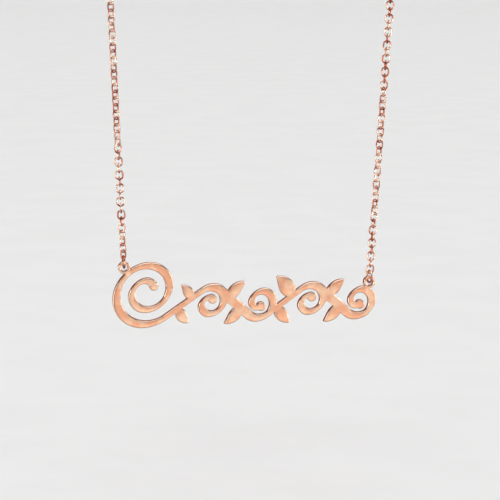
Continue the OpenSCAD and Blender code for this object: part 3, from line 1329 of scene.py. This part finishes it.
def chain_graph() -> ShapeGraph:
    """Builds the tree that lays interlocked links along a way.

    Returns:
        The tree. Its inputs are the links' number, places, sizes and turns, and a fixed seed.
    """
    graph = ShapeGraph("cable chain")
    count, start, around, across, seed = (
        graph.size(name, "NodeSocketInt") for name in ("Count", "Start", "Around", "Across", "Seed")
    )
    first, pitch, length, width, wire, play = (
        graph.size(name) for name in ("First", "Pitch", "Length", "Width", "Wire", "Play")
    )
    turn0, turn1, turn2, from1, from2, run = (
        graph.size(name) for name in ("Turn 0", "Turn 1", "Turn 2", "From 1", "From 2", "Run")
    )
    number = graph.value("GeometryNodeInputIndex") + start
    way = graph.node("GeometryNodeMeshToCurve", {"Mesh": graph.shape})
    sample = graph.node(
        "GeometryNodeSampleCurve",
        {"Curves": way.outputs[0], "Length": first + number * pitch},
        mode="LENGTH", use_all_curves=True,
    )
    points = graph.node("GeometryNodePoints", {"Count": count})
    placed = graph.node(
        "GeometryNodeSetPosition", {"Geometry": points.outputs[0], "Position": sample.outputs["Position"]}
    )
    turn = turn0
    for before, after, begin in ((turn0, turn1, from1), (turn1, turn2, from2)):
        turn = turn + (after - before) * (number - begin + run).math("DIVIDE", run, clamp=True)
    loose = graph.value(
        "FunctionNodeRandomValue", {2: play * -1.0, 3: play, "Seed": seed}, 1, data_type="FLOAT"
    )
    turn = turn + (number % 2) * (math.pi / 2) + loose
    heading = graph.node("ShaderNodeSeparateXYZ", {0: sample.outputs["Tangent"]})
    tilt = Value(graph.tree, heading.outputs["X"]).math("ARCTAN2", Value(graph.tree, heading.outputs["Z"]))
    tilted, twisted = (
        graph.value("FunctionNodeEulerToRotation", {0: graph.value("ShaderNodeCombineXYZ", {axis: angle})})
        for axis, angle in (("Y", tilt), ("Z", turn))
    )
    turned = graph.node(
        "FunctionNodeRotateRotation", {"Rotation": tilted, "Rotate By": twisted}, rotation_space="LOCAL"
    )
    ring = graph.node(
        "GeometryNodeCurvePrimitiveCircle", {"Resolution": around, "Radius": (width - wire) * 0.5}
    )
    where = graph.node("ShaderNodeSeparateXYZ", {0: graph.node("GeometryNodeInputPosition").outputs[0]})
    stretch = Value(graph.tree, where.outputs["Y"]).math("SIGN") * (length - width) * 0.5
    oval = graph.node(
        "GeometryNodeSetPosition",
        {"Geometry": ring.outputs[0], "Offset": graph.value("ShaderNodeCombineXYZ", {"Y": stretch})},
    )
    profile = graph.node(
        "GeometryNodeCurvePrimitiveCircle", {"Resolution": across, "Radius": wire * 0.5}
    )
    bent = graph.node(
        "GeometryNodeCurveToMesh", {"Curve": oval.outputs[0], "Profile Curve": profile.outputs[0]}
    )
    upright = graph.node(
        "GeometryNodeTransform", {"Geometry": bent.outputs[0], "Rotation": (math.pi / 2, 0, 0)}
    )
    smooth = graph.node("GeometryNodeSetShadeSmooth", {"Geometry": upright.outputs[0]})
    laid = graph.node(
        "GeometryNodeInstanceOnPoints",
        {"Points": placed.outputs[0], "Instance": smooth.outputs[0], "Rotation": turned.outputs[0]},
    )
    return graph.close(laid.outputs[0])


@dataclass
class CableChain:
    """Both sides of the chain: finely made links where the plate hangs, plainer ones behind."""

    hang: Hang
    front_links: int = 60
    front_facets: tuple[int, int] = (20, 6)
    back_facets: tuple[int, int] = (14, 5)
    play: float = 2.5
    seed: int = 11
    way_step: float = 0.25

    def way(self, side: Side) -> bpy.types.Mesh:
        """Draws the line that a side's links follow.

        Args:
            side: The side.

        Returns:
            The line as a row of edges, from the side's eye.
        """
        length = self.hang.length(side, self.hang.drop)
        count = math.ceil(length / self.way_step)
        spots = [self.hang.at(side, length * k / count)[0] * MM for k in range(count + 1)]
        return path_mesh("way", spots)

    def build(self, finish: WireFinish) -> list[bpy.types.Object]:
        """Builds the four stretches of chain, which stand for the CAD's links and tubes.

        Args:
            finish: The plating.

        Returns:
            The stretches.
        """
        graph, material, fits, pieces = chain_graph(), finish.build(), self.hang.fits, []
        for side in Side:
            first, pitch, count = self.hang.links(side)
            twist = TWISTS[side]
            name = side.name.lower()
            stretches = (
                (f"chain_{name}_front", 0, self.front_links, self.front_facets, f"chain_{name}"),
                (f"chain_{name}_rear", self.front_links, count - self.front_links, self.back_facets,
                 f"chain_{name}_back"),
            )
            for title, start, number, (around, across), node in stretches:
                piece = graph.grow(title, self.way(side), material, {
                    "Count": number, "Start": start, "Around": around, "Across": across,
                    "Seed": self.seed + start, "First": first * MM, "Pitch": pitch * MM,
                    "Length": fits.link_length * MM, "Width": fits.link_width * MM,
                    "Wire": fits.link_wire * MM, "Play": math.radians(self.play),
                    "Turn 0": math.radians(twist.start), "Turn 1": math.radians(twist.first[1]),
                    "Turn 2": math.radians(twist.second[1]), "From 1": float(twist.first[0]),
                    "From 2": float(twist.second[0]), "Run": twist.run,
                })
                pieces.append(seat(piece, "chain", node))
        return pieces


# Rings


@dataclass
class WireRing:
    """A closed ring of round wire with a soldered joint, whose width and reach are in radians."""

    r: float
    wire: float
    around: int = 96
    across: int = 20
    joint_depth: float = 0.14
    joint_width: float = 0.05
    joint_reach: float = 0.1
    joint_steps: int = 8
    joint_fall: float = 8.0
    turn_digits: int = 6

    def build(self, centre: Vector, along: Vector, across: Vector, seam: float) -> Facets:
        """Bends the ring.

        Args:
            centre: Its middle.
            along: A direction in its plane.
            across: The other direction in its plane.
            seam: Where its joint lies, in degrees from along.

        Returns:
            The ring's faces.
        """
        facets, whole, joint = Facets(), 2 * math.pi, math.radians(seam)
        fine = (
            joint + self.joint_reach * k / self.joint_steps
            for k in range(-self.joint_steps, self.joint_steps + 1)
        )
        turns = sorted(
            {round(t, self.turn_digits) for t in round_turns(self.around)
             if abs(math.remainder(t - joint, whole)) > self.joint_reach}
            | {round(t % whole, self.turn_digits) for t in fine}
        )
        path, radii = [], []
        for t in turns:
            off = math.remainder(t - joint, whole) / self.joint_width
            path.append(centre + self.r * (math.cos(t) * along + math.sin(t) * across))
            radii.append(self.wire / 2 * (1 - self.joint_depth * math.exp(-self.joint_fall * off * off)))
        facets.skin(tube_rows(path, radii, self.across, along.cross(across), closed=True), closed=True)
        return facets


@dataclass
class Rings:
    """The two jump rings in the plate's eyes and the two rings at the clasp."""

    hang: Hang
    seams: tuple[float, float] = (62.0, 118.0)

    def frame_at(self, side: Side, s: float, turn: float) -> tuple[Vector, Vector, Vector]:
        """Places a ring.

        Args:
            side: The side that it hangs on.
            s: Its distance along the side.
            turn: How far it is turned about the side, in degrees.

        Returns:
            Its middle and the two directions in its plane.
        """
        middle, tilt = self.hang.at(side, s)
        along = Vector((math.sin(tilt), 0, math.cos(tilt)))
        flat = Vector((math.cos(tilt), 0, -math.sin(tilt)))
        a = math.radians(turn)
        return middle, along, Vector((0, math.cos(a), 0)) - math.sin(a) * flat

    def build(self, jump_finish: WireFinish, clasp_finish: WireFinish) -> list[bpy.types.Object]:
        """Builds the four rings.

        Args:
            jump_finish: The plating of the jump rings.
            clasp_finish: The plating of the rings at the clasp.

        Returns:
            The rings.
        """
        hang, fits, pieces = self.hang, self.hang.fits, []
        jump = WireRing(hang.jump_ring_r(), fits.ring_wire)
        clasp = WireRing(hang.ring_r, fits.clasp_ring_wire)
        materials = jump_finish.build(), clasp_finish.build()
        for side, seam in zip(Side, self.seams):
            name = side.name.lower()
            rows = (
                (jump, f"jump_ring_{name}_wire", hang.jump_ring_s(side), RING_TURNS[side], "chain",
                 f"jump_ring_{name}", materials[0]),
                (clasp, f"clasp_ring_{name}_wire", hang.clasp_ring_s(side),
                 90 - side.value * fits.clasp_ring_turn, "clasp", f"clasp_ring_{name}", materials[1]),
            )
            for ring, title, s, turn, material_slot, node, material in rows:
                facets = ring.build(*self.frame_at(side, s, turn), seam)
                pieces.append(seat(facets.piece(title, material), material_slot, node))
        return pieces


# The clasp


@dataclass
class LobsterClasp:
    """A plain lobster clasp: hook, gate, round body with a button, neck and bored tail."""

    hang: Hang
    width: float = 4.2
    hook_inset: float = 0.15
    neck: float = 0.4
    body_edge: float = 0.35
    button: float = 1.0
    button_sink: float = 0.25
    roundness: float = 4.0
    button_roundness: float = 6.0
    pole: float = 0.02
    seam_width: float = 0.12
    seam_depth: float = 0.12
    seam_steps: int = 4
    seam_power: int = 4
    sides: int = 28
    round_sides: int = 64
    levels: int = 24
    bend_steps: int = 48
    straight_steps: int = 8

    def __post_init__(self) -> None:
        """Places the clasp's parts as the CAD source does."""
        fits = self.hang.fits
        self.tail_x = self.hang.clasp_ring_x - self.hang.tail_out
        self.hook_r = (self.width - fits.hook_wire) / 2 - self.hook_inset
        self.hook_x = self.tail_x - self.hang.clasp_hold + self.hook_r
        self.tail_r = fits.tail_bore / 2 + fits.tail_wall
        self.body_x = self.tail_x - self.tail_r - self.width / 2 - self.neck
        self.z = fits.clasp_thickness / 2

    def puck(self, x: float, y: float, r: float, half: float, power: float) -> Facets:
        """Turns a round body whose rims are softly rounded.

        Args:
            x: Its middle along X.
            y: Its middle along Y.
            r: Its radius.
            half: Half its height.
            power: How full its rims are.

        Returns:
            Its faces.
        """
        facets, rows = Facets(), []
        for k in range(self.levels + 1):
            a = -math.pi / 2 + math.pi * (self.pole + (1 - 2 * self.pole) * k / self.levels)
            reach, height = r * soft_cos(a, power), half * soft_sin(a, power)
            rows.append(level_circle(x, y, self.z + height, reach, self.round_sides))
        facets.skin(rows, capped=True)
        return facets

    def hook(self) -> Facets:
        """Bends the hook and the gate as one wire with a groove where they meet.

        Returns:
            Its faces.
        """
        wire = self.hang.fits.hook_wire / 2
        seam_x = self.hook_x + wire
        straight = [
            self.body_x + (self.hook_x - self.body_x) * k / self.straight_steps
            for k in range(self.straight_steps)
        ]
        path = [Vector((x, self.hook_r, self.z)) for x in straight]
        for k in range(self.bend_steps + 1):
            a = math.pi / 2 + math.pi * k / self.bend_steps
            path.append(Vector((
                self.hook_x + self.hook_r * math.cos(a), self.hook_r * math.sin(a), self.z
            )))
        groove = [
            seam_x + self.seam_width * k / self.seam_steps
            for k in range(-self.seam_steps, self.seam_steps + 1)
        ]
        gate = [x for x in straight if abs(x - seam_x) > self.seam_width]
        path += [Vector((x, -self.hook_r, self.z)) for x in sorted(groove + gate)]
        radii = [
            wire - self.seam_depth * math.exp(-((p.x - seam_x) / (self.seam_width / 2)) ** self.seam_power)
            if p.y < 0 else wire
            for p in path
        ]
        facets = Facets()
        facets.skin(tube_rows(path, radii, self.sides, Vector((0, 0, 1))), capped=True)
        return facets

    def tail(self) -> list[Facets]:
        """Shapes the bored tail with rounded rims, and the neck that carries it.

        Returns:
            The faces of the tail and of the neck.
        """
        fits = self.hang.fits
        half, wall = fits.tail_thickness / 2, fits.tail_wall / 2
        ring, neck = Facets(), Facets()
        rows = []
        for t in round_turns(self.round_sides):
            out = Vector((math.cos(t), math.sin(t), 0))
            rows.append([
                Vector((self.tail_x, 0, self.z)) + out * (self.tail_r - wall + wall * soft_cos(a))
                + Vector((0, 0, half * soft_sin(a)))
                for a in round_turns(self.levels)
            ])
        ring.skin([row[::-1] for row in rows], closed=True)
        ends = (self.body_x, self.tail_x - fits.tail_bore / 2 - wall)
        neck.skin([
            [Vector((x, fits.tail_bore / 2 * soft_cos(a), self.z + half * soft_sin(a)))
             for a in round_turns(self.levels)]
            for x in ends
        ], capped=True)
        return [ring, neck]

    def build(self, finish: WireFinish) -> bpy.types.Object:
        """Builds the clasp as one piece.

        Args:
            finish: The plating.

        Returns:
            The clasp.
        """
        fits = self.hang.fits
        half = fits.clasp_thickness / 2
        button_y = -self.hook_r - self.button_sink * fits.hook_wire
        whole = Facets()
        parts = [
            self.hook(),
            self.puck(self.body_x, 0, self.width / 2, half, self.roundness),
            self.puck(self.body_x - self.width / 2, button_y, self.button / 2, half - self.body_edge,
                      self.button_roundness),
            *self.tail(),
        ]
        for part in parts:
            whole.add(part.points, part.faces)
        return seat(whole.piece("clasp_body", finish.build()), "clasp", "clasp")


def soft_cos(a: float, power: float = 4.0) -> float:
    """Cosine of a rounded square's turn in radians."""
    return math.copysign(abs(math.cos(a)) ** (2 / power), math.cos(a))


def soft_sin(a: float, power: float = 4.0) -> float:
    """Sine of a rounded square's turn in radians."""
    return math.copysign(abs(math.sin(a)) ** (2 / power), math.sin(a))


# The studio


@dataclass(frozen=True)
class Zone:
    """A part of the surround: how bright it is, and where along its axis it comes up.

    Where the end lies below the start, the zone fades along its axis.
    """

    glow: float
    start: float
    full: float


@dataclass(frozen=True)
class Surround:
    """What the metal mirrors: a pale front, a soft sky, a floor, two strips, sides and a back.

    The floor fades towards straight down, and the strips stand upright in front, near the horizon.
    """

    base: float = 0.05
    front: Zone = Zone(0.84, 0.93, 0.985)
    above: Zone = Zone(3.2, 0.71, 0.92)
    sides: Zone = Zone(0.85, 0.80, 0.97)
    back: Zone = Zone(0.4, 0.2, 0.7)
    below: Zone = Zone(0.45, -0.17, -0.30)
    below_end: Zone = Zone(1.0, -0.9, -0.6)
    strips: Zone = Zone(22.0, 0.54, 0.58)
    strips_outer: Zone = Zone(1.0, 0.645, 0.605)
    strips_low: Zone = Zone(1.0, 0.27, 0.19)
    strips_front: Zone = Zone(1.0, 0.25, -0.05)
    daylight: float = 1.12
    colour: tuple[float, ...] = (1.0, 0.995, 0.985, 1)

    def build(self, front_way: Vector) -> None:
        """Sets the world: even light on the floor, and the zones for what the metal mirrors.

        Args:
            front_way: The direction that the plate's face mirrors to the camera.
        """
        world = bpy.data.worlds.new("studio")
        world.use_nodes = True
        bpy.context.scene.world = world
        graph = NodeGraph()
        graph.tree = world.node_tree
        graph.tree.nodes.clear()
        seen = graph.value("ShaderNodeTexCoord", output="Generated")
        way = graph.node("ShaderNodeSeparateXYZ", {0: seen})
        x, y, z = (Value(graph.tree, way.outputs[k]) for k in range(3))

        def lit(share: Value, zone: Zone) -> Value:
            """A zone's brightness where an axis has this share of the direction."""
            return graph.span(share, 0.0, zone.glow, zone.start, zone.full, "SMOOTHSTEP")

        ahead = x * front_way.x + y * front_way.y + z * front_way.z
        aside, level = x.math("ABSOLUTE"), z.math("ABSOLUTE")
        strips = lit(aside, self.strips) * lit(aside, self.strips_outer)
        strips = strips * lit(level, self.strips_low) * lit(y, self.strips_front)
        glow = (
            lit(ahead, self.front) + lit(z, self.above) + lit(aside, self.sides)
            + lit(z, self.below) * lit(z, self.below_end) + lit(y, self.back) + strips + self.base
        )
        mirrored = graph.value("ShaderNodeLightPath", output="Is Glossy Ray")
        strength = graph.mix(mirrored, self.daylight, glow)
        light = graph.node("ShaderNodeBackground", {"Color": self.colour, "Strength": strength})
        graph.node("ShaderNodeOutputWorld", {"Surface": light.outputs[0]})


def look(viewer: bpy.types.Object, place: Vector, back: Vector) -> None:
    """Places a light or camera.

    Args:
        viewer: The light or camera.
        place: Where it stands, in metres.
        back: The direction from what it looks at towards it.
    """
    viewer.location = place
    viewer.rotation_mode = "QUATERNION"
    viewer.rotation_quaternion = (-back).to_track_quat("-Z", "Y")


@dataclass(frozen=True)
class Lamp:
    """A square soft light: its direction from the plate, distance and side in metres, and watts."""

    name: str
    way: tuple[float, float, float]
    far: float
    size: float
    power: float

    def hang(self, aim: Vector) -> None:
        """Hangs the light so that it faces a point.

        Args:
            aim: The point, in metres.
        """
        data = bpy.data.lights.new(self.name, "AREA")
        data.energy, data.size = self.power, self.size
        way = Vector(self.way).normalized()
        look(add_object(self.name, data), aim + way * self.far, way)


@dataclass(frozen=True)
class FloorFinish:
    """A matt pale floor with faint clouds."""

    dark: tuple[float, ...] = (0.80, 0.80, 0.805, 1)
    light: tuple[float, ...] = (0.815, 0.815, 0.82, 1)
    clouds: Grain = Grain(60, 3)
    cloud_band: Point = (0.4, 0.6)
    roughness: float = 0.9

    def build(self) -> bpy.types.Material:
        """Makes the material.

        Returns:
            The material.
        """
        graph = SurfaceGraph("pale_floor")
        clouds = graph.span(graph.noise(self.clouds), 0, 1, *self.cloud_band)
        colour = graph.blend(clouds, self.dark, self.light)
        return graph.close({"Base Color": colour, "Roughness": self.roughness})


@dataclass
class Studio:
    """A pale floor that curves up all round, soft lights and the camera.

    The floor's and the cove's own sizes and the camera's clip are in metres.
    """

    hang: Hang
    surround: Surround = Surround()
    floor_finish: FloorFinish = FloorFinish()
    lamps: tuple[Lamp, ...] = (
        Lamp("key", (-0.55, -0.7, 0.75), 0.75, 0.15, 0.4),
        Lamp("fill", (0.8, -0.8, 0.25), 0.9, 0.4, 0.25),
    )
    azimuth: float = -8.0
    elevation: float = 8.0
    lens: float = 180.0
    sensor: float = 36.0
    frame_width: float = 75.9
    aim_x: float = -1.8
    aim_above_eye: float = 2.3
    floor_below: float = 21.6
    floor_rings: tuple[float, ...] = (0.02, 0.85, 1.7)
    cove_r: float = 1.0
    cove_steps: int = 12
    cove_sides: int = 96
    wall_top: float = 1.9
    clip: Point = (0.005, 50.0)

    def camera(self) -> None:
        """Sets the camera at the photo's viewing angle and distance."""
        data = bpy.data.cameras.new("camera")
        data.lens, data.sensor_width = self.lens, self.sensor
        data.clip_start, data.clip_end = self.clip
        back = self.towards_camera()
        far = self.frame_width / 2 / (self.sensor / 2 / self.lens)
        aim = Vector((self.aim_x, 0, self.hang.eye(Side.LEFT).z + self.aim_above_eye))
        bpy.context.scene.camera = add_object("camera", data)
        look(bpy.context.scene.camera, (aim + back * far) * MM, back)

    def cove(self) -> None:
        """Makes the floor and the wall that it curves up into, all round."""
        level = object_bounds()[0].z - self.floor_below * MM
        profile = [(r, 0.0) for r in self.floor_rings]
        edge = self.floor_rings[-1]
        for k in range(1, self.cove_steps + 1):
            a = math.pi / 2 * k / self.cove_steps
            profile.append((edge + self.cove_r * math.sin(a), self.cove_r * (1 - math.cos(a))))
        profile.append((edge + self.cove_r, self.wall_top))
        facets = Facets()
        facets.skin([
            [spot / MM for spot in level_circle(0, 0, level + h, r, self.cove_sides)] for r, h in profile
        ])
        facets.faces = [face[::-1] for face in facets.faces]
        facets.faces.append(tuple(range(self.cove_sides)))
        floor = facets.piece("studio_floor", self.floor_finish.build())
        floor.visible_glossy = False
        floor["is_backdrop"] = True

    def towards_camera(self) -> Vector:
        """The direction from the plate to the camera."""
        a, e = math.radians(self.azimuth), math.radians(self.elevation)
        return Vector((math.sin(a) * math.cos(e), -math.cos(a) * math.cos(e), math.sin(e)))

    def build(self) -> None:
        """Sets up the whole studio."""
        self.camera()
        self.cove()
        to_camera = self.towards_camera()
        self.surround.build(Vector((-to_camera.x, to_camera.y, -to_camera.z)))
        for lamp in self.lamps:
            lamp.hang(self.hang.eye(Side.LEFT) * MM)
        bpy.context.scene.view_settings.view_transform = "Standard"


def main() -> None:
    """Builds the necklace's looks piece by piece, and the studio round it."""
    plate = Nameplate()
    hang = Hang(plate)
    report(plate.build(hang.place, PlateFinish()))
    for stretch in CableChain(hang).build(WireFinish("rose_chain")):
        report(stretch)
    for ring in Rings(hang).build(WireFinish("rose_jump_ring"), WireFinish("rose_clasp_ring")):
        report(ring)
    report(LobsterClasp(hang).build(WireFinish("rose_clasp")))
    Studio(hang).build()


if __name__ == "__main__":
    main()
